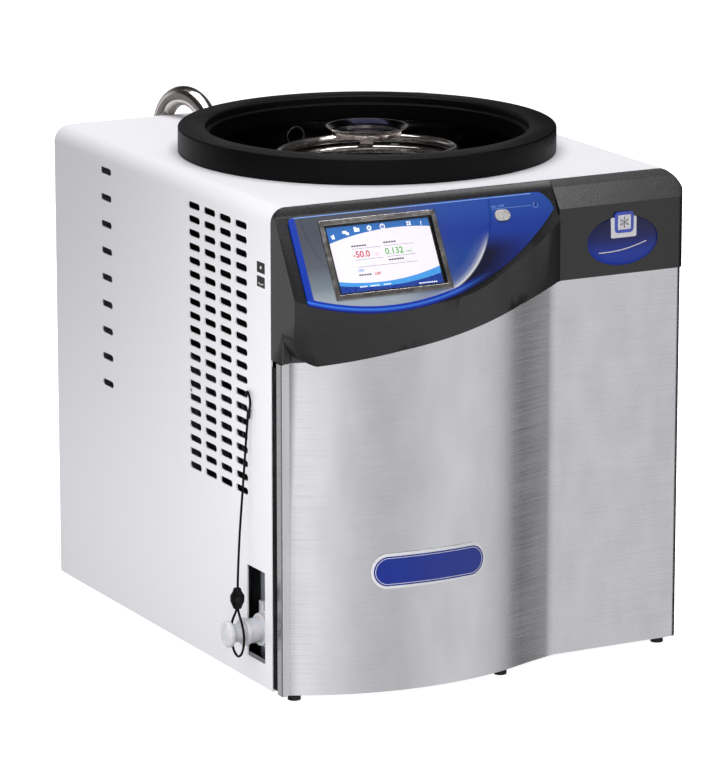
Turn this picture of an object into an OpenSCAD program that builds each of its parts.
// Benchtop freeze dryer: a folded steel cabinet with a contoured stainless front, a moulded
// control bezel, an open-topped collector chamber with its refrigerated coil, and the
// refrigeration set that stands under the chamber.
//
// While it is drawn, X runs from the cabinet's left side, Y from its front edge backwards and
// Z from its bottom edge. "Forward" is the distance in front of the front edge, so -Y.
// at_origin() then puts the middle of the whole base, under the feet, at the origin.

/* [Cabinet] */
// Width across the cabinet's sides
cab_w = 418; // [400:1:520]
// Depth from the cabinet's front edge to its rear edge
cab_d = 460; // [450:1:560]
// Height of the cabinet, without its feet
cab_h = 446; // [430:1:540]
// Thickness of the cabinet's sheet steel
steel_t = 1.5; // [1:0.1:2]
// Outside radius of the folds along the top
fold_r = 16; // [10:1:20]
// Height of the feet
foot_h = 6; // [4:0.5:12]
// Diameter of a foot
foot_d = 12; // [8:1:20]

/* [Side vents] */
// Length of a slot
slot_l = 24.5; // [18:0.5:27]
// Width of a slot, which is also the diameter of its round ends
slot_w = 6.5; // [4:0.5:9]
// Distance between slot columns
slot_column = 31.75; // [30:0.25:36]
// Distance between slot rows
slot_row = 12.9; // [11:0.1:13]
// Rows in the front block
slot_rows = 20; // [8:1:20]
// Columns in the front block
slot_columns = 4; // [1:1:5]
// Distance from the front edge to the middle of the first column
slot_front = 59; // [52:1:70]
// Distance from the front edge to the middle of the single rear column
slot_rear = 344; // [320:1:360]

/* [Front panel] */
// Thickness of the stainless sheet
front_t = 1.2; // [0.8:0.1:2]
// Depth of the dark reveal between the cabinet and the stainless sheet
reveal = 10; // [6:0.5:12]
// How far forward the bulge reaches
bulge_out = 52; // [45:0.5:60]
// Radius of the bulge
bulge_r = 265; // [240:1:330]
// Distance from the left side to the crown of the bulge
bulge_x = 140; // [130:1:150]
// Where the bulge ends and the hollow strip starts
bulge_end = 240; // [225:1:250]
// Where the hollow strip ends and the flat part starts
strip_end = 284; // [270:1:300]
// How far forward the flat part stands
flat_out = 18; // [16:0.5:22]

/* [Control bezel] */
// Wall of the moulding
bezel_t = 3; // [2:0.25:4]
// Height of the bezel over the flat part
bezel_h = 90.5; // [80:0.5:100]
// Depth of its lower edge below the cabinet's top, at the left side
sweep_drop = 137.7; // [125:0.5:150]
// Radius of the sweeping lower edge
sweep_r = 1000; // [900:10:1200]
// Radius of its top corners
bezel_r = 14; // [8:1:20]
// Lean of the control face from upright, in degrees
face_lean = 29.7; // [20:0.1:35]
// How far forward the top of the control face stands
face_out = 8.25; // [6:0.25:12]
// How far forward the chin reaches
chin_out = 56; // [50:0.5:66]
// Radius of the chin in plan
chin_r = 525; // [450:5:700]
// Radius of the chin's scooped lower left corner
scoop_r = 30; // [16:1:40]
// How far forward the face of the right-hand block stands
block_out = 21; // [19:0.5:26]

/* [Controls] */
// Width of the screen's visible area
screen_w = 108; // [90:1:130]
// Height of the screen's visible area
screen_h = 64.8; // [54:0.2:66]
// Width of the metal frame round the screen
frame_w = 4.9; // [3:0.1:7]
// Thickness of the blue insert
insert_t = 2; // [1:0.1:3]
// Length of the oval power button
button_l = 15.5; // [10:0.5:20]
// Height of the oval power button
button_h = 10.5; // [8:0.5:12]
// How far the power button travels
button_travel = 1.5; // [0.5:0.1:2.5]

/* [Mouth and chamber] */
// Distance from the front edge to the middle of the mouth
mouth_y = 210; // [205:0.5:225]
// Outside diameter of the rubber ring
ring_d = 356; // [330:0.5:360]
// Width of the rubber ring across its top
ring_w = 25.7; // [20:0.1:32]
// Height of the rubber ring above the cabinet
ring_h = 24; // [16:0.5:32]
// Inside diameter of the chamber
chamber_d = 292; // [250:1:296]
// Depth of the chamber below the cabinet's top
chamber_h = 165; // [150:1:180]
// Thickness of the foam round the chamber
foam_t = 22; // [15:1:24]
// Diameter of the port in the chamber's rear wall
port_d = 17.6; // [12:0.2:18]

/* [Collector coil] */
// Radius of the coil, to the middle of its tube
coil_r = 86; // [66:1:95]
// Diameter of the coil's tube
coil_d = 9.2; // [6:0.1:10]
// Rise from one turn to the next
coil_pitch = 10.8; // [10.4:0.1:13]
// Number of turns
coil_turns = 10; // [5:1:10]
// Diameter of the baffle dish at its rim
dish_d = 78; // [60:1:100]

/* [Vacuum tube] */
// Outside diameter of the tube
tube_d = 19; // [14:0.5:22]
// Height of the arch above the cabinet's top, to its outside
arch_h = 31; // [30:0.5:45]

/* [Drain] */
// Height of the drain's axis
drain_z = 50; // [45:1:60]
// Distance of the drain's axis from the front edge
drain_y = 32; // [28:1:34]
// How far the plug stands out of the side
plug_out = 31; // [24:1:40]

/* [Refrigeration] */
// Diameter of the compressor's can
can_d = 156; // [120:1:170]
// Height of the compressor's can
can_h = 185; // [140:1:190]
// Diameter of the condenser fan
fan_d = 104; // [80:1:108]
// Number of fan blades
fan_blade_count = 5; // [3:1:7]

/* [Hidden] */

$fn = 64;
seam = 0.3;          // gap between pieces that sit in or on each other
over = 1;            // overlap of a cutting shape past a face
fine = 360;          // segments of the large arcs

// Places that follow from the sizes above
mouth_x = cab_w / 2;
side_in = 0.3;                                   // stainless sheet inside the cabinet's side
panel_top = cab_h - 84;                          // the stainless sheet ends behind the bezel
face_z = cab_h - 8.3;                            // top edge of the control face
sweep_z = cab_h - sweep_drop;                    // lower edge of the bezel at the left
block_z = cab_h - bezel_h;                       // lower edge of the bezel at the right
nose_z = cab_h - 92;                             // where control face and chin meet
bulge_top = nose_z - 2;                          // the bulge's sheet ends below the nose
skin_t = 2;                                      // bezel wall in front of the stainless sheet
side_lip = 2;                                    // bezel wall beside the stainless sheet, at the left
arch_z = cab_h + arch_h - tube_d / 2;            // middle of the tube at the top of the arch
tube_front = [mouth_x - 69, mouth_y + 191];      // where the tube leaves the cabinet's top
tube_rear = [mouth_x - 86, cab_d + 15];          // where it runs down behind the rear panel
arch_r = norm(tube_rear - tube_front) / 2;
arch_turn = atan2(tube_rear.y - tube_front.y, tube_rear.x - tube_front.x);
arch_base = arch_z - arch_r;
clip_r = tube_d / 2 + 2;
pan_z = steel_t;                                 // underside of the base pan
floor_z = pan_z + steel_t;                       // top of the base pan, where things stand

insert_out = face_out + (face_z - nose_z) * tan(face_lean) + insert_t / cos(face_lean);
front_y = -max(chin_out, insert_out);            // foremost and rearmost points
rear_y = tube_rear.y + clip_r;
module at_origin() {
    translate([-(cab_w - plug_out) / 2, -(front_y + rear_y) / 2, foot_h]) children();
}

// ---------------------------------------------------------------- helpers

// Extrudes a drawing of the plan, given as [x, forward], between two heights.
module plan(z0, z1) {
    translate([0, 0, z0]) mirror([0, 1, 0]) linear_extrude(z1 - z0) children();
}

// Extrudes a drawing of the front view, given as [x, z], between two distances forward.
module front_view(out0, out1) {
    translate([0, -out0, 0]) rotate([90, 0, 0]) linear_extrude(out1 - out0) children();
}

// Extrudes a drawing of the side view, given as [forward, z], between two widths.
module side_view(x0, x1) {
    translate([x1, 0, 0]) rotate([90, 0, -90]) linear_extrude(x1 - x0) children();
}

// A rectangle from one corner to the opposite one.
module span(low, high) {
    translate(low) square(high - low);
}

module block(low, high) {
    translate(low) cube(high - low);
}

// A rectangle with rounded corners, about its middle.
module round_rect(w, h, r) {
    for (i = [-1, 1], j = [-1, 1]) translate([i * (w / 2 - r), j * (h / 2 - r)]) circle(r = r);
    square([w - 2 * r, h], center = true);
    square([w, h - 2 * r], center = true);
}

// An outline of the cabinet's front view with round top corners, moved in by t.
module arched(t, r) {
    span([t, -over], [cab_w - t, cab_h - r]);
    span([r, -over], [cab_w - r, cab_h - t]);
    for (x = [r, cab_w - r]) translate([x, cab_h - r]) circle(r = r - t);
}

function unit(v) = v / norm(v);
function frame(x, y, z, o) = [[x.x, y.x, z.x, o.x], [x.y, y.y, z.y, o.y], [x.z, y.z, z.z, o.z], [0, 0, 0, 1]];
function across(v) = unit(cross(v, abs(v.z) < 0.9 ? [0, 0, 1] : [1, 0, 0]));

// A straight rod from a to b.
module rod(a, b, r) {
    z = unit(b - a);
    x = across(z);
    multmatrix(frame(x, cross(z, x), z, a)) cylinder(h = norm(b - a), r = r);
}

// A bent pipe through points whose legs meet at right angles, with the bend radius given.
module pipe(points, r, bend) {
    last = len(points) - 1;
    for (i = [0 : last - 1]) {
        d = unit(points[i + 1] - points[i]);
        rod(points[i] + (i > 0 ? bend : 0) * d, points[i + 1] - (i < last - 1 ? bend : 0) * d, r);
    }
    for (i = [1 : last - 1]) {
        u = unit(points[i] - points[i - 1]);
        v = unit(points[i + 1] - points[i]);
        multmatrix(frame(-v, u, cross(u, v), points[i] + bend * (v - u)))
            rotate_extrude(angle = 90) translate([bend, 0]) circle(r = r);
    }
}

// A tube swept along any path: rings of sides points that turn with the path.
function heading(path, i) = unit(path[min(i + 1, len(path) - 1)] - path[max(i - 1, 0)]);
function sweep_normals(path) = [for (i = 0, n = across(heading(path, 0)); i < len(path);
    i = i + 1, n = i < len(path) ? unit(n - (n * heading(path, i)) * heading(path, i)) : n) n];
module swept_tube(path, r, sides) {
    n = sweep_normals(path);
    points = [for (i = [0 : len(path) - 1], k = [0 : sides - 1])
        path[i] + r * (cos(360 * k / sides) * n[i] + sin(360 * k / sides) * cross(heading(path, i), n[i]))];
    walls = [for (i = [0 : len(path) - 2], k = [0 : sides - 1])
        let (a = i * sides, b = a + sides, m = (k + 1) % sides) [a + k, b + k, b + m, a + m]];
    ends = [[for (k = [0 : sides - 1]) k], [for (k = [sides - 1 : -1 : 0]) (len(path) - 1) * sides + k]];
    polyhedron(points, concat(walls, ends), convexity = 10);
}

// A smooth curve through points, with steps parts between two of them.
function spline_point(p, i, t) = let (
    a = p[max(i - 1, 0)], b = p[i], c = p[i + 1], d = p[min(i + 2, len(p) - 1)])
    0.5 * (2 * b + (c - a) * t + (2 * a - 5 * b + 4 * c - d) * t * t + (3 * b - a - 3 * c + d) * t * t * t);
function spline(p, steps) = concat(
    [for (i = [0 : len(p) - 2], k = [0 : steps - 1]) spline_point(p, i, k / steps)], [p[len(p) - 1]]);

// The corner q of the path p, q, r when both its edges are moved by t to their right.
function moved_corner(p, q, r, t) = let (
    a = unit(q - p), b = unit(r - q), m = [a.y, -a.x], n = [b.y, -b.x]) q + t * (m + n) / (1 + m * n);
function moved_outline(p, t) = [for (i = [0 : len(p) - 1])
    moved_corner(p[(i + len(p) - 1) % len(p)], p[i], p[(i + 1) % len(p)], t)];

// ---------------------------------------------------------------- cabinet

cutout_y = [14, 50];                             // drain cut-out in the left side
cutout_z = [22, 108];
top_slot_z = cab_h - 25;
sheet_hole_d = chamber_d + 8;                    // the mouth's hole in the top sheet
grommet_hole_r = 12.8;
grommet_at = tube_front + (arch_r - sqrt(arch_r * arch_r - pow(cab_h - arch_base, 2))) * unit(tube_rear - tube_front);
rivet_at = [162, cab_h - 199];

// One ventilation slot in a side view.
module slot() {
    square([slot_l - slot_w, slot_w], center = true);
    for (i = [-1, 1]) translate([i * (slot_l - slot_w) / 2, 0]) circle(d = slot_w, $fn = 24);
}

module side_vents() {
    for (row = [0 : slot_rows - 1], column = [0 : slot_columns - 1])
        translate([-(slot_front + column * slot_column), top_slot_z - row * slot_row]) slot();
    for (row = [0 : 2 : slot_rows - 3]) translate([-slot_rear, top_slot_z - row * slot_row]) slot();
}

module cabinet_wrap() {
    foot_fold = 15;
    color("white") at_origin() difference() {
        union() {
            difference() {
                front_view(-cab_d, 0) difference() {
                    arched(0, fold_r);
                    arched(steel_t, fold_r);
                }
                block([-over, -over, -2 * over], [cab_w + over, cab_d + over, 0]);
            }
            for (x = [0, cab_w - foot_fold]) block([x, 0, 0], [x + foot_fold, cab_d, steel_t]);
        }
        for (x = [-over, cab_w - 2 * steel_t]) side_view(x, x + 2 * steel_t + over) side_vents();
        block([-over, cutout_y[0], cutout_z[0]], [2 * steel_t, cutout_y[1], cutout_z[1]]);
        translate([mouth_x, mouth_y, cab_h - 2 * steel_t]) cylinder(h = 4 * steel_t, d = sheet_hole_d, $fn = fine);
        translate([grommet_at.x, grommet_at.y, cab_h - 2 * steel_t]) cylinder(h = 4 * steel_t, r = grommet_hole_r);
    }
}

pan_side = 2 * steel_t + seam;                   // the pan's flanges inside the wrap
pan_back = cab_d - 2 * steel_t;
module base_pan() {
    lip = 22;
    color("gainsboro") at_origin() {
        block([pan_side, 0, pan_z], [cab_w - pan_side, pan_back, floor_z]);
        plan(pan_z, floor_z) intersection() {
            front_plan(front_t + seam);
            span([side_in + hem_flange + seam, 0], [cab_w - side_in - hem_flange - seam, bulge_out]);
        }
        difference() {
            block([pan_side - steel_t, reveal, pan_z], [cab_w - pan_side + steel_t, pan_back, floor_z + lip]);
            block([pan_side, reveal - over, floor_z], [cab_w - pan_side, pan_back - steel_t, floor_z + lip + over]);
        }
    }
}

inlet_at = [62, 70];                             // x and height of the parts in the rear panel
breaker_at = [128, 70];
outlet_at = [192, 70];
inlet_size = [28, 21];
breaker_size = [19, 28];
module rear_panel() {
    grille_x = [260, 400];
    color("white") at_origin() difference() {
        intersection() {
            front_view(-cab_d, -cab_d + steel_t) arched(steel_t + seam, fold_r);
            block([0, 0, pan_z], [cab_w, cab_d + over, cab_h]);
        }
        front_view(-cab_d - over, -cab_d + 3 * steel_t) {
            translate(inlet_at) square(inlet_size + [seam, seam], center = true);
            translate(outlet_at) square(inlet_size + [seam, seam], center = true);
            translate(breaker_at) square(breaker_size + [seam, seam], center = true);
            for (x = [grille_x[0] : slot_column : grille_x[1]], row = [0 : 11])
                translate([x, 60 + row * slot_row]) slot();
        }
    }
}

// ---------------------------------------------------------------- front panel

bulge_edge = bulge_out - bulge_r + sqrt(bulge_r * bulge_r - pow(bulge_end - bulge_x, 2));
strip_r = 500;
strip_chord = [strip_end - bulge_end, flat_out - bulge_edge];
strip_at = [bulge_end, bulge_edge] + strip_chord / 2
    + sqrt(strip_r * strip_r - pow(norm(strip_chord) / 2, 2)) * unit([-strip_chord.y, strip_chord.x]);
hem_w = 4.6;
hem_out = 19.8;
hem_r = 2;
hem_groove = [9.4, 17.4];
corner_r = 6;
hem_flange = 9;                                  // returns behind the sheet's two sides

// Plan of the front, filled back to the cabinet, with its surface moved in by t.
module front_plan(t) {
    span([side_in + hem_r, 0], [hem_w - t, hem_out - t]);
    span([side_in + t, 0], [hem_w - t, hem_out - hem_r]);
    translate([side_in + hem_r, hem_out - hem_r]) circle(r = hem_r - t);
    span([hem_w - t, 0], [hem_groove.x, hem_groove.y - t]);
    intersection() {
        translate([bulge_x, bulge_out - bulge_r]) circle(r = bulge_r - t, $fn = fine);
        span([hem_groove.x, 0], [bulge_end, 2 * bulge_out]);
    }
    difference() {
        span([bulge_end, 0], [strip_end, bulge_edge + corner_r]);
        translate(strip_at) circle(r = strip_r + t, $fn = fine);
    }
    span([strip_end, 0], [cab_w - side_in - corner_r, flat_out - t]);
    span([strip_end, 0], [cab_w - side_in - t, flat_out - corner_r]);
    translate([cab_w - side_in - corner_r, flat_out - corner_r]) circle(r = corner_r - t);
}

module front_sheet() {
    difference() {
        front_plan(0);
        front_plan(front_t);
        span([-over, -over], [cab_w + over, reveal]);
    }
    span([side_in, reveal], [side_in + hem_flange, reveal + front_t]);
    span([cab_w - side_in - hem_flange, reveal], [cab_w - side_in, reveal + front_t]);
}

// The sheet is notched at its upper left, where the bezel wraps round the side.
module front_panel() {
    color("lightsteelblue") at_origin() difference() {
        union() {
            plan(0, bulge_top) front_sheet();
            plan(0, panel_top) intersection() {
                front_sheet();
                span([bulge_end, 0], [cab_w, bulge_out]);
            }
        }
        block([-over, -2 * bulge_out, sweep_z - 1], [side_lip + seam, 0, cab_h]);
    }
}

// Black frame behind the sheet: its lower part shows as the dark reveal, its upper part is
// narrower and shallower, to fit inside the bezel.
module front_frame() {
    rim = bezel_t + 0.4;
    bar = 14;
    low = sweep_z - 6;
    deep = face_z - 11;
    color("black") at_origin() {
        front_view(0, reveal) for (m = [0, 1]) translate([m * cab_w, 0]) mirror([m, 0]) {
            span([0.8, floor_z], [bar, low]);
            span([rim, low], [rim + bar, deep]);
        }
        front_view(0, reveal) span([rim, floor_z], [cab_w - rim, floor_z + bar]);
        front_view(0, reveal) span([rim + over, bulge_top - bar], [cab_w - rim - over, bulge_top]);
        front_view(0, 4.2) intersection() {
            arched(rim, block_arch);
            difference() {
                span([0, low], [cab_w, face_z - 0.4]);
                span([rim + bar, 0], [cab_w - rim - bar, deep]);
            }
        }
    }
}

module name_plate() {
    plate = [116, 33];
    plate_t = 1.3;
    plate_at = [135, 113];
    gap = 0.1;
    color("royalblue") at_origin() intersection() {
        difference() {
            translate([bulge_x, bulge_r - bulge_out, plate_at.y - plate.y]) difference() {
                cylinder(h = 2 * plate.y, r = bulge_r + gap + plate_t, $fn = fine);
                translate([0, 0, -over]) cylinder(h = 2 * plate.y + 2 * over, r = bulge_r + gap, $fn = fine);
            }
        }
        front_view(0, 2 * bulge_out) translate(plate_at) round_rect(plate.x, plate.y, plate.y / 2 - 0.5);
    }
}

// ---------------------------------------------------------------- control bezel

face_dir = [sin(face_lean), -cos(face_lean)];    // down the control face, as [forward, z]
face_foot = [face_out, face_z] + 140 * face_dir;
left_profile = [[-12, sweep_z - 30], [-12, cab_h], [2, cab_h], [face_out, face_z], face_foot,
    [face_foot.x, sweep_z - 30]];
block_r = 7;                                     // vertical corner at the block's right
block_arch = 19;                                 // round top corner at the block's right
block_top = [8, cab_h - 6];
block_fold = cab_h - 24;
block_profile = [[-12, block_z], [-12, cab_h], [2, cab_h], block_top, [block_out, block_fold],
    [block_out, block_z]];

// Front view of the whole bezel, moved in by t.
module bezel_outline(t) {
    sweep_x = -22;
    intersection() {
        arched(t, bezel_r);
        union() {
            translate([sweep_x, sweep_z + sweep_r]) circle(r = sweep_r - t, $fn = 3 * fine);
            span([strip_end - 2, block_z + t], [cab_w, cab_h]);
        }
    }
}

// Front view of the chin, whose lower left corner is scooped.
module chin_outline(t) {
    intersection() {
        bezel_outline(t);
        union() {
            span([scoop_r, 0], [strip_end, cab_h]);
            span([0, sweep_z + scoop_r], [strip_end, cab_h]);
            translate([scoop_r, sweep_z + scoop_r]) circle(r = scoop_r - t);
        }
    }
}

// The chin: a large drum that leans back below its nose.
module chin_drum(t) {
    chin_x = 100;
    lean = 5.5;
    low = sweep_z - 10;
    translate([chin_x, chin_r - chin_out, 0]) {
        translate([0, 0, nose_z]) cylinder(h = cab_h - nose_z + over, r = chin_r - t, $fn = 2 * fine);
        translate([0, 0, low]) cylinder(h = nose_z - low, r1 = chin_r - lean - t, r2 = chin_r - t, $fn = 2 * fine);
    }
}

// Outer form of the bezel at t = 0, and its cavity at t = wall.
module bezel_form(t) {
    back = t > 0 ? -over : 0;
    join = strip_end + (t > 0 ? t + over : 0);   // the two cavities run into each other
    intersection() {
        union() {
            intersection() {
                front_view(back, 2 * bulge_out) chin_outline(t);
                chin_drum(t);
            }
            intersection() {
                front_view(back, 2 * bulge_out) bezel_outline(t);
                plan(sweep_z - 2 * over, cab_h + over) front_plan(-seam - (t > 0 ? 0 : skin_t));
                block([t, -2 * bulge_out, 0], [join, over, cab_h + over]);
            }
        }
        side_view(t, join) polygon(moved_outline(left_profile, t));
    }
    intersection() {
        front_view(back, 2 * bulge_out) intersection() {
            bezel_outline(t);
            arched(t, block_arch);
        }
        side_view(strip_end + t, cab_w - t) polygon(moved_outline(block_profile, t));
        plan(block_z - over, cab_h + over) {
            span([strip_end - over, back - over], [cab_w - block_r, block_out + over]);
            span([strip_end - over, back - over], [cab_w, block_out - block_r]);
            translate([cab_w - block_r, block_out - block_r]) circle(r = block_r - t);
        }
    }
}

// Puts things on the control face: X to the right, Y up the face, Z out of it.
module on_face(x, z) {
    translate([x, -(face_out + (face_z - z) * tan(face_lean)), z]) rotate([90 - face_lean, 0, 0]) children();
}

screen_at = [99, cab_h - 46.6];
button_at = [225, cab_h - 25];
lens_at = [261.5, cab_h - 18.5];
lens_d = 3;
window = [screen_w + 4, screen_h + 4];
frame_outer = [screen_w + 2 * frame_w, screen_h + 2 * frame_w];

module button_oval(grow) {
    resize_r = button_h / 2 + grow;
    square([button_l - button_h, 2 * resize_r], center = true);
    for (i = [-1, 1]) translate([i * (button_l - button_h) / 2, 0]) circle(r = resize_r);
}

// Holes for the button and the lens, through the face at a depth.
module control_holes(depth) {
    on_face(button_at.x, button_at.y) translate([0, 0, -depth]) linear_extrude(2 * depth) button_oval(seam);
    on_face(lens_at.x, lens_at.y) translate([0, 0, -depth]) cylinder(h = 2 * depth, d = lens_d + seam);
}

module control_bezel() {
    color("dimgray") at_origin() difference() {
        bezel_form(0);
        bezel_form(bezel_t);
        plan(sweep_z - 12, bulge_top + seam) intersection() {
            front_plan(-seam);
            span([side_lip, -over], [cab_w, 2 * bulge_out]);
        }
        plan(sweep_z - 12, panel_top + seam) intersection() {
            front_plan(-seam);
            span([bulge_end - seam, -over], [cab_w, bulge_out]);
        }
        on_face(screen_at.x, screen_at.y) translate([0, 0, -bezel_t - over])
            linear_extrude(bezel_t + 2 * over) square(window, center = true);
        control_holes(2 * bezel_t);
    }
}

module control_insert() {
    left = 12;
    right = strip_end - 5;
    low_r = 283;
    low_x = 94;
    tip_r = 18;
    color("mediumblue") at_origin() difference() {
        intersection() {
            on_face(0, face_z) translate([0, -3 * bezel_h / 2, 0]) cube([strip_end, 3 * bezel_h / 2 - 0.4, insert_t]);
            front_view(-over, 2 * bulge_out) intersection() {
                translate([low_x, nose_z + low_r]) circle(r = low_r, $fn = fine);
                union() {
                    translate([(left + right) / 2, cab_h - 60]) round_rect(right - left, 106, tip_r);
                    translate([left + 30, cab_h - 60]) round_rect(60, 102.6, 5);
                }
            }
        }
        on_face(screen_at.x, screen_at.y) translate([0, 0, -over])
            linear_extrude(insert_t + 2 * over) square(frame_outer + [seam, seam], center = true);
        control_holes(2 * insert_t);
    }
}

module screen_frame() {
    proud = 0.8;
    color("dimgray") at_origin() on_face(screen_at.x, screen_at.y) linear_extrude(insert_t + proud) difference() {
        round_rect(frame_outer.x, frame_outer.y, 3);
        round_rect(screen_w + 0.6, screen_h + 0.6, 1);
    }
}

screen_t = 5;
module touch_screen() {
    color("aliceblue") at_origin() on_face(screen_at.x, screen_at.y) translate([0, 0, -screen_t - 0.1])
        linear_extrude(screen_t) square(window - [seam, seam], center = true);
}

module display_board() {
    board = [104, 58, 1.6];
    stand = 3.2;
    color("darkgreen") at_origin() on_face(screen_at.x, screen_at.y) translate([0, 0, -screen_t - 0.1 - stand]) {
        translate([0, 0, -board.z / 2]) cube(board, center = true);
        for (i = [-1, 1], j = [-1, 1]) translate([i * 46, j * 24, 0]) cylinder(h = stand, r = 2.5);
    }
}

flange_z = -bezel_t - seam;                      // top of the button's flange, behind the wall
module power_button() {
    proud = 1.2;
    flange = 1.6;
    color("silver") at_origin() on_face(button_at.x, button_at.y) {
        translate([0, 0, flange_z]) linear_extrude(insert_t + proud - flange_z) button_oval(0);
        translate([0, 0, flange_z - flange]) linear_extrude(flange) button_oval(2);
    }
}

module button_switch() {
    gap = 0.2;
    body = [9, 9, 5];
    top = flange_z - 1.6 - button_travel - gap;
    color("darkgreen") at_origin() on_face(button_at.x, button_at.y) {
        translate([0, 0, top - body.z / 2]) cube(body, center = true);
        translate([0, 0, top - body.z - 0.8]) cube([36, 10, 1.6], center = true);
        for (i = [-1, 1]) translate([i * 15, 0, top - body.z]) cylinder(h = body.z - top - bezel_t, r = 2.5);
    }
}

module status_lens() {
    color("lightcyan") at_origin() on_face(lens_at.x, lens_at.y)
        translate([0, 0, -bezel_t]) cylinder(h = bezel_t + insert_t + 0.5, d = lens_d);
}

module oval_badge() {
    badge = [75, 46, 1.6];
    badge_at = [(strip_end + cab_w) / 2, block_z + 31.5];
    color("mediumblue") at_origin() front_view(block_out, block_out + badge.z) translate(badge_at)
        polygon([for (a = [0 : 6 : 354]) [badge.x / 2 * cos(a), badge.y / 2 * sin(a)]]);
}

// ---------------------------------------------------------------- mouth and chamber

ring_r = ring_d / 2;
ring_in = ring_r - ring_w;
chamber_r = chamber_d / 2;
chamber_t = 1.5;
flange_r = chamber_r + 16;
module mouth_ring() {
    step = 2.2;
    inner = chamber_r + 2.8;
    color([0.1, 0.1, 0.11]) at_origin() translate([mouth_x, mouth_y, cab_h]) rotate_extrude($fn = fine) polygon([
        [inner, chamber_t + 0.2], [flange_r + 0.4, chamber_t + 0.2], [flange_r + 0.4, 0], [ring_r, 0],
        [ring_r, ring_h - 1.2], [ring_r - 1.2, ring_h], [ring_in + 2.5, ring_h], [ring_in + 0.6, ring_h - 0.8],
        [ring_in, ring_h - 2.5], [ring_in, ring_h - 7], [ring_in - step, ring_h - 8], [inner, ring_h - 8]]);
}

port_z = cab_h - 11.5;
port_out_r = port_d / 2 + 0.7;
chamber_floor = cab_h - chamber_h;
drain_hole = [mouth_x - 104, mouth_y - 60];
spigot_d = 13;
coil_top = cab_h - 0.9;
top_turn = -75;                                  // direction in which the coil's upper end lies
inward = 16;                                     // how far its upper end turns inwards
coil_leg_bend = 15;
coil_last = top_turn + 360 * coil_turns;
foam_bottom = chamber_floor - chamber_t - seam - foam_t;

function polar(r, a) = [r * cos(a), r * sin(a)];
function tangent(a) = [-sin(a), cos(a)];
upper_leg = polar(coil_r - inward, top_turn) - coil_leg_bend * tangent(top_turn);
lower_leg = polar(coil_r, coil_last) + coil_leg_bend * tangent(coil_last);

module coil_leg_holes(z0, z1) {
    for (p = [upper_leg, lower_leg]) translate([p.x, p.y, z0]) cylinder(h = z1 - z0, d = coil_d + 2 * seam);
}

module collector_chamber() {
    bend = 12;
    wall_r = chamber_r + chamber_t;
    color([0.12, 0.12, 0.13]) at_origin() translate([mouth_x, mouth_y, 0]) difference() {
        union() {
            rotate_extrude($fn = fine) polygon([[0, chamber_floor - chamber_t], [wall_r - bend, chamber_floor - chamber_t],
                [wall_r, chamber_floor - chamber_t + bend], [wall_r, cab_h], [flange_r, cab_h],
                [flange_r, cab_h + chamber_t], [chamber_r, cab_h + chamber_t], [chamber_r, chamber_floor + bend],
                [chamber_r - bend, chamber_floor], [0, chamber_floor]]);
            translate([drain_hole.x - mouth_x, drain_hole.y - mouth_y, foam_bottom - 12])
                cylinder(h = chamber_floor - foam_bottom + 11, d = spigot_d);
        }
        translate([drain_hole.x - mouth_x, drain_hole.y - mouth_y, foam_bottom - 13])
            cylinder(h = chamber_h, d = spigot_d - 3);
        translate([0, chamber_r - 10, port_z]) rotate([-90, 0, 0]) cylinder(h = 20, r = port_out_r + 0.1);
        coil_leg_holes(chamber_floor - 10, chamber_floor + 10);
    }
}

module chamber_foam() {
    inner = chamber_r + chamber_t + seam;
    color("khaki") at_origin() translate([mouth_x, mouth_y, 0]) difference() {
        translate([0, 0, foam_bottom]) cylinder(h = cab_h - steel_t - seam - foam_bottom, r = inner + foam_t, $fn = fine);
        translate([0, 0, foam_bottom + foam_t]) cylinder(h = cab_h, r = inner, $fn = fine);
        translate([drain_hole.x - mouth_x, drain_hole.y - mouth_y, 0]) cylinder(h = cab_h, d = spigot_d + 2 * seam);
        translate([0, chamber_r, port_z]) rotate([-90, 0, 0]) cylinder(h = 2 * foam_t, r = port_out_r + seam);
        coil_leg_holes(0, cab_h);
    }
}

// The coil's path: a leg, ten turns that rise clockwise, and an upper end that turns inwards.
coil_step = 15;
coil_low = coil_top - coil_pitch * coil_turns;
function coil_radius(a) = coil_r - inward * (1 - cos(180 * max(0, 1 - (a - top_turn) / 70))) / 2;
function coil_point(a) = let (p = polar(coil_radius(a), a))
    [p.x, p.y, coil_top - coil_pitch * (a - top_turn) / 360];
function leg_bend(p, z, d, q) = [for (k = q) let (s = coil_leg_bend * sin(k), h = coil_leg_bend * (1 - cos(k)))
    [p.x + d.x * s, p.y + d.y * s, z - h]];
coil_path = concat(
    [[lower_leg.x, lower_leg.y, foam_bottom - 8]],
    leg_bend(polar(coil_r, coil_last), coil_low, tangent(coil_last), [90 : -22.5 : 22.5]),
    [for (a = [coil_last : -coil_step : top_turn]) coil_point(a)],
    leg_bend(polar(coil_r - inward, top_turn), coil_top, -tangent(top_turn), [22.5 : 22.5 : 90]),
    [[upper_leg.x, upper_leg.y, foam_bottom - 8]]);

module collector_coil() {
    color("silver") at_origin() translate([mouth_x, mouth_y, 0]) swept_tube(coil_path, coil_d / 2, 8);
}

post_gap = 0.3;
module coil_posts() {
    post = [3, 8];
    foot = 16;
    r = coil_r + coil_d / 2 + post_gap;
    color("silver") at_origin() translate([mouth_x, mouth_y, 0]) for (a = [45 : 90 : 315]) rotate(a) {
        block([r, -post.y / 2, chamber_floor], [r + post.x, post.y / 2, coil_top - coil_pitch]);
        block([r, -post.y / 2, chamber_floor], [r + foot, post.y / 2, chamber_floor + post.x]);
    }
}

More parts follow.
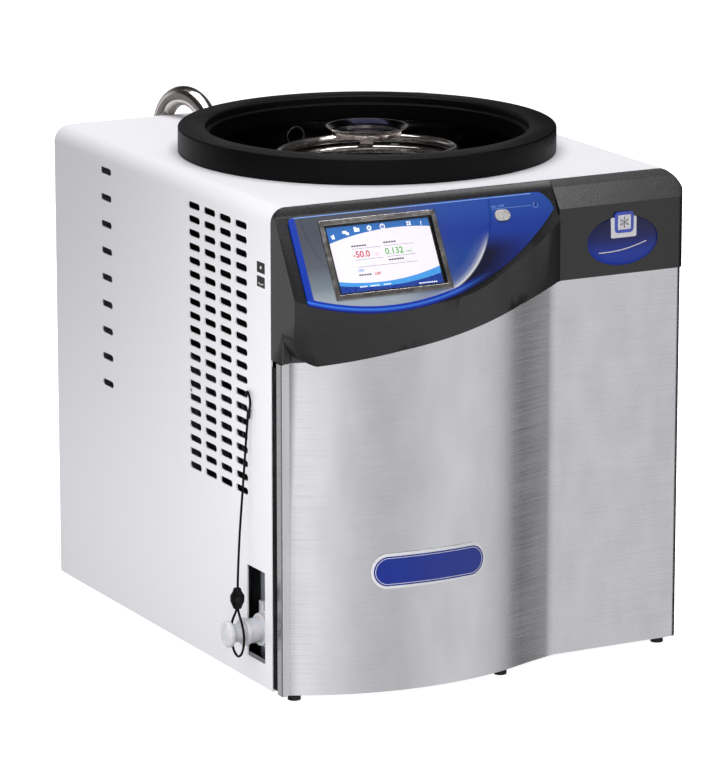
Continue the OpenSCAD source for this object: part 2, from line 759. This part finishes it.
// A spun dish over the middle of the coil, carried by a strap that lies on the top turn.
strap_dir = 63;
dish_top = cab_h + 22.6;
module baffle_dish() {
    waist = dish_d / 2 - 6;
    rim = dish_d / 2;
    dish_h = 8.2;
    dish_t = 1.2;
    strap = [12, 2];
    rest_z = coil_point(strap_dir).z + coil_d / 2 + 0.2;
    color("silver") at_origin() translate([mouth_x, mouth_y, 0]) {
        translate([0, 0, dish_top - dish_h]) rotate_extrude($fn = 96) polygon([[0, 0], [waist, 0], [waist, 4],
            [rim, dish_h], [rim - dish_t * 1.3, dish_h], [waist - dish_t, 4.4], [waist - dish_t, dish_t], [0, dish_t]]);
        rotate(strap_dir) {
            block([waist - 8, -strap.x / 2, rest_z], [coil_r + 6, strap.x / 2, rest_z + strap.y]);
            block([waist - 8, -strap.x / 2, rest_z], [waist - 6, strap.x / 2, dish_top - dish_h]);
        }
    }
}

// ---------------------------------------------------------------- vacuum tube

tube_wall = 1.2;
elbow_bend = 15;
elbow_y = mouth_y + chamber_r + foam_t + 7;
elbow_leg = [mouth_x, elbow_y + elbow_bend];
elbow_end = port_z - 32;
module elbow_shape(r) {
    translate([mouth_x, mouth_y + chamber_r + 0.2, port_z]) rotate([-90, 0, 0])
        cylinder(h = elbow_y - mouth_y - chamber_r - 0.2, r = r);
    translate([mouth_x, elbow_y, port_z - elbow_bend]) rotate([90, 0, 90])
        rotate_extrude(angle = 90) translate([elbow_bend, 0]) circle(r = r);
    translate([elbow_leg.x, elbow_leg.y, elbow_end]) cylinder(h = port_z - elbow_bend - elbow_end, r = r);
}

module port_elbow() {
    color("silver") at_origin() difference() {
        elbow_shape(port_out_r);
        elbow_shape(port_d / 2 - 0.4);
        translate([mouth_x, mouth_y + chamber_r - over, port_z]) rotate([-90, 0, 0]) cylinder(h = 4, r = port_d / 2 - 0.4);
        translate([elbow_leg.x, elbow_leg.y, elbow_end - over]) cylinder(h = 4, r = port_d / 2 - 0.4);
    }
}

hose_r = 13.5;
hose_grip = 20;
hose_from = elbow_end + hose_grip - 6;
module port_hose() {
    away = elbow_leg - tube_front;
    middle = (elbow_leg + tube_front) / 2;
    bend = norm(away) / 2;
    base = elbow_end - hose_grip;
    bore_r = min(tube_d / 2, port_out_r) + 0.05;
    color([0.15, 0.15, 0.16]) at_origin() translate([middle.x, middle.y, base]) rotate(atan2(away.y, away.x)) difference() {
        union() {
            rotate([-90, 0, 0]) rotate_extrude(angle = 180) translate([bend, 0]) circle(r = hose_r);
            for (x = [-bend, bend]) translate([x, 0, 0]) cylinder(h = hose_from - base, r = hose_r);
        }
        rotate([-90, 0, 0]) rotate_extrude(angle = 180) translate([bend, 0]) circle(r = bore_r);
        translate([-bend, 0, 0]) cylinder(h = hose_from, r = tube_d / 2 + 0.05);
        translate([bend, 0, 0]) cylinder(h = hose_from, r = port_out_r + 0.05);
    }
}

tube_foot = 300;
hose_stop = 40;      // the pump's hose is pushed on as far as this bead
module tube_shape(r, past) {
    middle = (tube_front + tube_rear) / 2;
    translate([middle.x, middle.y, arch_base]) rotate(arch_turn) {
        rotate([90, 0, 0]) rotate_extrude(angle = 180) translate([arch_r, 0]) circle(r = r);
        translate([-arch_r, 0, elbow_end - arch_base - past]) cylinder(h = arch_base - elbow_end + past, r = r);
        translate([arch_r, 0, tube_foot - arch_base - past]) cylinder(h = arch_base - tube_foot + past, r = r);
    }
}

module vacuum_tube() {
    color("silver") at_origin() difference() {
        union() {
            tube_shape(tube_d / 2, 0);
            translate([tube_rear.x, tube_rear.y, tube_foot + hose_stop]) rotate_extrude()
                translate([tube_d / 2 - 0.4, 0]) circle(r = 1.4);
        }
        tube_shape(tube_d / 2 - tube_wall, over);
    }
}

module tube_grommet() {
    bore_r = grommet_hole_r - 0.9;
    lip = [2, 0.8];
    color([0.1, 0.1, 0.1]) at_origin() translate([grommet_at.x, grommet_at.y, cab_h - steel_t]) rotate_extrude() polygon([
        [bore_r, -lip.y], [bore_r + lip.x + 0.9, -lip.y], [bore_r + lip.x + 0.9, 0], [grommet_hole_r - 0.1, 0],
        [grommet_hole_r - 0.1, steel_t], [bore_r + lip.x + 0.9, steel_t], [bore_r + lip.x + 0.9, steel_t + lip.y],
        [bore_r, steel_t + lip.y]]);
}

module tube_clip() {
    clip_h = 12;
    clip_z = 372;
    wing = 17;
    color("silver") at_origin() translate([tube_rear.x, tube_rear.y, clip_z]) difference() {
        union() {
            cylinder(h = clip_h, r = clip_r);
            block([-wing, cab_d - tube_rear.y, 0], [wing, cab_d - tube_rear.y + 2, clip_h]);
            block([-clip_r, cab_d - tube_rear.y, 0], [clip_r, 0, clip_h]);
        }
        translate([0, 0, -over]) cylinder(h = clip_h + 2 * over, r = tube_d / 2 + 0.1);
    }
}

// ---------------------------------------------------------------- drain

bracket_x = 17;
shank_d = 11;
module drain_bracket() {
    plate_y = [10, 56];
    color("slategray") at_origin() difference() {
        union() {
            block([bracket_x, plate_y[0], floor_z], [bracket_x + steel_t, plate_y[1], cutout_z[1] + 6]);
            block([bracket_x, plate_y[0], floor_z], [bracket_x + 14, plate_y[1], floor_z + steel_t]);
        }
        translate([bracket_x - over, drain_y, drain_z]) rotate([0, 90, 0]) cylinder(h = 4, r = 9 + seam / 2);
    }
}

// Drain socket: a collar inside the cut-out, a nose through it and a tail for the hose.
module drain_fitting() {
    color("whitesmoke") at_origin() translate([0, drain_y, drain_z]) rotate([0, 90, 0]) difference() {
        union() {
            translate([0, 0, -10]) cylinder(h = 14, r = 11.5);
            translate([0, 0, 3]) cylinder(h = 5, r = 15);
            translate([0, 0, 8]) cylinder(h = bracket_x - 8, r = 17);
            translate([0, 0, bracket_x]) cylinder(h = 9, r = 9);
            translate([0, 0, bracket_x + 9]) cylinder(h = 16, r = 6.5);
            block([-24, 4, 9], [-8, 12, bracket_x]);
        }
        translate([0, 0, -11]) cylinder(h = 25, d = shank_d);
        cylinder(h = bracket_x + 30, d = 7);
    }
}

module drain_plug() {
    disc_t = 5;
    neck_d = 17;
    color("whitesmoke") at_origin() translate([-plug_out, drain_y, drain_z]) rotate([0, 90, 0]) rotate_extrude() polygon([
        [0, 0], [10.5, 0], [12.3, 1.2], [12.3, disc_t - 1], [11, disc_t], [neck_d / 2, disc_t + 1],
        [neck_d / 2, plug_out - 14], [13, plug_out - 14], [13, plug_out - 10.3], [shank_d / 2 - 0.05, plug_out - 10.3],
        [shank_d / 2 - 0.05, plug_out + 8], [0, plug_out + 8]]);
}

hose_end_x = bracket_x + 26;
module drain_hose() {
    drop = foam_bottom - 16;
    wall = 2;
    color("gainsboro") at_origin() pipe([[drain_hole.x, drain_hole.y, foam_bottom - 12.3], [drain_hole.x, drain_hole.y, drop - 20],
        [drain_hole.x, drain_y, drop - 20], [drain_hole.x, drain_y, drain_z], [hose_end_x, drain_y, drain_z]] , 4 + wall, 14);
}

// Lanyard: the cord leaves a vent slot, loops once, hangs to the bead and goes round the plug's neck.
cord_d = 2.2;
cord_route = [[6, 49, 266], [1, 49, 266], [-2, 46, 268], [-3, 41, 271], [-3, 37, 267], [-2.4, 37, 260],
    [-3, 39, 252], [-4, 40, 240], [-6, 39.5, 220], [-8, 39, 198], [-10.5, 38, 174], [-13, 37, 150],
    [-15.5, 35, 128], [-17.5, 33, 108], [-18.7, 31.4, 97], [-19, 30.8, 90], [-19, 30.8, 82], [-19, 30.7, 73],
    [-19, 27.5, 67], [-19, 22.5, 60], [-19, 19, 51], [-19, 19.5, 41], [-19, 24, 32], [-19, 31, 28],
    [-19, 39, 31], [-19, 44, 40], [-19, 45, 51], [-19, 41.5, 60], [-19, 36.5, 67], [-19, 33.3, 73],
    [-19, 33.2, 82], [-19, 33.2, 88]];
bead_at = [-19, 32, 83];
module lanyard_cord() {
    color([0.05, 0.05, 0.05]) at_origin() swept_tube(spline(cord_route, 2), cord_d / 2, 8);
}

module lanyard_bead() {
    color([0.05, 0.05, 0.05]) at_origin() translate(bead_at) rotate_extrude() difference() {
        polygon([[0, -10], [3.6, -10], [4.4, -8], [6.5, -3], [6.5, 2], [4.2, 6], [3.4, 9], [0, 9]]);
        span([0, -over * 11], [2.7, over * 10]);
    }
}

// ---------------------------------------------------------------- refrigeration

can_at = [mouth_x + 60, mouth_y + 30];
can_z = floor_z + 10;
can_foot = 82;
module compressor() {
    r = can_d / 2;
    dome = 30;
    color([0.15, 0.15, 0.16]) at_origin() translate([can_at.x, can_at.y, can_z]) {
        rotate_extrude($fn = 96) polygon([[0, 6], [r - dome, 6], [r - dome / 3, 14], [r, dome + 6], [r, can_h / 2 - 3],
            [r + 4, can_h / 2 - 3], [r + 4, can_h / 2 + 3], [r, can_h / 2 + 3], [r, can_h - dome],
            [r - dome / 3, can_h - 10], [r - dome, can_h], [0, can_h]]);
        for (a = [45, 135]) rotate(a) translate([0, 0, 5]) cube([2 * can_foot * sqrt(2) - 20, 30, 4], center = true);
        block([r - 4, -22, 70], [r + 26, 22, 120]);
    }
}

module compressor_grommets() {
    color([0.1, 0.1, 0.1]) at_origin() for (i = [-1, 1], j = [-1, 1])
        translate([can_at.x + i * (can_foot - 16), can_at.y + j * (can_foot - 16), floor_z]) cylinder(h = 13, r = 9);
}

cond_x = [24, 60];
cond_y = [64, 184];
cond_z = [14, 244];
cond_tube = 4;
cond_rows = [30 : 40 : 230];
module condenser() {
    fin = 0.8;
    fin_gap = 10;
    color("silver") at_origin() {
        for (y = [cond_y[0] + fin_gap : fin_gap : cond_y[1] - fin_gap / 2])
            block([cond_x[0], y, cond_z[0]], [cond_x[1], y + fin, cond_z[1]]);
        for (y = [cond_y[0], cond_y[1] - steel_t])
            block([cond_x[0], y, floor_z], [cond_x[1], y + steel_t, cond_z[1]]);
        for (x = [cond_x[0] + 10, cond_x[1] - 10], z = cond_rows)
            rod([x, cond_y[0] - 2, z], [x, cond_y[1] + 2, z], cond_tube);
    }
}

fan_at = [(cond_y[0] + cond_y[1]) / 2, (cond_z[0] + cond_z[1]) / 2];
shroud_x = cond_x[1] + seam;
hub_r = 16;
hub_x = [shroud_x + 4, shroud_x + 16];
shaft_r = 3;
module fan_shroud() {
    collar = 12;
    color([0.15, 0.15, 0.15]) at_origin() difference() {
        union() {
            block([shroud_x, cond_y[0], floor_z], [shroud_x + steel_t, cond_y[1], cond_z[1]]);
            translate([shroud_x, fan_at.x, fan_at.y]) rotate([0, 90, 0]) cylinder(h = collar, r = fan_d / 2 + 5);
        }
        translate([shroud_x - over, fan_at.x, fan_at.y]) rotate([0, 90, 0]) cylinder(h = collar + 2 * over, r = fan_d / 2 + 3);
    }
}

module fan_blades() {
    pitch = 28;
    blade_t = 1.6;
    color("silver") at_origin() translate([hub_x[0], fan_at.x, fan_at.y]) rotate([0, 90, 0]) difference() {
        union() {
            cylinder(h = hub_x[1] - hub_x[0], r = hub_r);
            intersection() {
                cylinder(h = hub_x[1] - hub_x[0], r = fan_d / 2);
                for (k = [0 : fan_blade_count - 1]) rotate(360 * k / fan_blade_count)
                    translate([hub_r - 2, 0, (hub_x[1] - hub_x[0]) / 2]) rotate([pitch, 0, 0])
                        translate([0, -20, -blade_t / 2]) cube([fan_d / 2, 40, blade_t]);
            }
        }
        translate([0, 0, -over]) cylinder(h = 2 * hub_r, r = shaft_r + 0.05);
    }
}

module fan_motor() {
    motor_r = 28;
    motor_x = [hub_x[1] + 8, hub_x[1] + 44];
    arm_r = fan_d / 2 + 4;
    color([0.2, 0.2, 0.2]) at_origin() translate([0, fan_at.x, fan_at.y]) {
        rod([motor_x[0], 0, 0], [motor_x[1], 0, 0], motor_r);
        rod([hub_x[0] + 0.5, 0, 0], [motor_x[0], 0, 0], shaft_r);
        for (a = [30, 150, 270]) rotate([a, 0, 0]) {
            block([motor_x[0], motor_r - 3, -5], [motor_x[0] + 3, arm_r + 1, 5]);
            block([shroud_x + 12, arm_r - 1, -5], [motor_x[0] + 3, arm_r + 1, 5]);
        }
    }
}

line_r = 3.5;
module discharge_line() {
    top = can_z + can_h;
    x = cond_x[1] - 10;
    z = cond_rows[0] + 4 * cond_rows[1];
    color("peru") at_origin() pipe([[can_at.x - 30, can_at.y, top], [can_at.x - 30, can_at.y, top + 16],
        [x, can_at.y, top + 16], [x, can_at.y, z], [x, cond_y[1] + 2, z]], line_r, 8);
}

module suction_line() {
    top = can_z + can_h;
    leg = [round(mouth_x + upper_leg.x), round(mouth_y + upper_leg.y)];
    color("peru") at_origin() pipe([[leg.x, leg.y, foam_bottom - 8], [leg.x, leg.y, top + 28],
        [leg.x, can_at.y, top + 28], [can_at.x + 30, can_at.y, top + 28], [can_at.x + 30, can_at.y, top]],
        line_r + 1, 10);
}

module liquid_line() {
    leg = [round(mouth_x + lower_leg.x), round(mouth_y + lower_leg.y)];
    x = cond_x[0] + 10;
    low = cond_rows[0];
    side = cond_y[0] - 20;
    drier = [20, 70];
    color("peru") at_origin() {
        pipe([[x, cond_y[0] - 2, low], [x, side, low], [leg.x, side, low], [leg.x, leg.y, low],
            [leg.x, leg.y, foam_bottom - 8]], line_r, 8);
        translate([leg.x - 60 - drier.y, side, low]) rotate([0, 90, 0]) cylinder(h = drier.y, d = drier.x);
    }
}

// ---------------------------------------------------------------- electrics

module control_box() {
    box = [100, 96, 104];
    low = [cab_w - box.x - 16, 20, floor_z];
    color("gainsboro") at_origin() {
        translate(low) cube(box);
        block(low + [-4, -2, box.z - 12], low + [box.x + 2, box.y + 2, box.z + 1.2]);
    }
}

// A part that is let into the rear panel from outside, about its place on the panel.
module in_rear_panel(place) {
    translate([place.x, cab_d, place.y]) rotate([-90, 0, 0]) children();
}

// Socket body in the rear panel, with a face plate outside.
module socket_body(face_t) {
    body_l = 26;
    linear_extrude(face_t) round_rect(50, 25, 4);
    translate([0, 0, -body_l]) linear_extrude(body_l) square(inlet_size, center = true);
}

module power_inlet() {
    face_t = 3;
    depth = 15;
    color([0.1, 0.1, 0.1]) at_origin() in_rear_panel(inlet_at) difference() {
        socket_body(face_t);
        translate([0, 0, face_t - depth]) linear_extrude(depth + over) difference() {
            square([24, 16.5], center = true);
            for (x = [-7, 0, 7]) translate([x, x == 0 ? 2 : -2]) square([2, 4], center = true);
        }
    }
}

module pump_outlet() {
    face_t = 3;
    color([0.1, 0.1, 0.1]) at_origin() in_rear_panel(outlet_at) difference() {
        socket_body(face_t);
        for (x = [-7, 0, 7]) translate([x, x == 0 ? 2 : -2, face_t - 14])
            linear_extrude(15) square([2.2, 4.4], center = true);
    }
}

rocker = [12.6, 21];
rocker_r = 14;
rocker_depth = 8.5;
module breaker_body() {
    face = [23, 32, 1.8];
    body_l = 24;
    color([0.12, 0.12, 0.12]) at_origin() in_rear_panel(breaker_at) difference() {
        union() {
            linear_extrude(face.z) round_rect(face.x, face.y, 2);
            translate([0, 0, -body_l]) linear_extrude(body_l) square(breaker_size, center = true);
        }
        translate([0, 0, -16]) linear_extrude(20) square(rocker + [0.8, 3.4], center = true);
        translate([-rocker.x / 2 - 2.4, 0, -rocker_depth]) rotate([0, 90, 0]) cylinder(h = rocker.x + 4.8, r = 1.55);
    }
}

// The rocker turns on two short pins; its face is a shallow V of two flats.
module breaker_rocker() {
    tilt = 11;
    color([0.75, 0.1, 0.08]) at_origin() in_rear_panel(breaker_at) translate([0, 0, -rocker_depth]) rotate([tilt, 0, 0]) {
        translate([-rocker.x / 2, 0, 0]) rotate([0, 90, 0]) linear_extrude(rocker.x)
            polygon([[3, -4], [3, 4], [-8, 9.6], [-10.4, 9.2], [-8.6, 0], [-10.4, -9.2], [-8, -9.6]]);
        translate([-rocker.x / 2 - 2, 0, 0]) rotate([0, 90, 0]) cylinder(h = rocker.x + 4, r = 1.5);
    }
}

// ---------------------------------------------------------------- feet and fasteners

module feet() {
    places = [[16, -12], [220, -30], [cab_w - 16, -8], [40, cab_d - 30], [cab_w - 40, cab_d - 30]];
    color([0.1, 0.1, 0.1]) at_origin() for (p = places) translate([p.x, p.y, -foot_h]) {
        cylinder(h = foot_h - 1, d = foot_d);
        cylinder(h = foot_h + pan_z, d = foot_d - 3);
    }
}

module panel_screws() {
    head_r = 3.6;
    head_t = 1.8;
    edge = 12;
    color("silver") at_origin() {
        for (x = [edge, cab_w - edge], z = [30, cab_h * 0.35, cab_h * 0.65, cab_h - 30])
            in_rear_panel([x, z]) cylinder(h = head_t, r = head_r);
        for (x = [cab_w * 0.5, cab_w * 0.78]) in_rear_panel([x, cab_h - edge]) cylinder(h = head_t, r = head_r);
        translate([0, rivet_at.x, rivet_at.y]) rotate([0, -90, 0]) cylinder(h = 0.7, r = 1.8);
    }
}

cabinet_wrap();
base_pan();
rear_panel();
front_frame();
front_panel();
control_bezel();
control_insert();
screen_frame();
touch_screen();
display_board();
power_button();
button_switch();
status_lens();
oval_badge();
name_plate();
mouth_ring();
collector_chamber();
chamber_foam();
collector_coil();
coil_posts();
baffle_dish();
port_elbow();
port_hose();
vacuum_tube();
tube_grommet();
tube_clip();
drain_bracket();
drain_fitting();
drain_plug();
drain_hose();
lanyard_cord();
lanyard_bead();
compressor();
compressor_grommets();
condenser();
fan_shroud();
fan_motor();
fan_blades();
discharge_line();
suction_line();
liquid_line();
control_box();
power_inlet();
breaker_body();
breaker_rocker();
pump_outlet();
feet();
panel_screws();
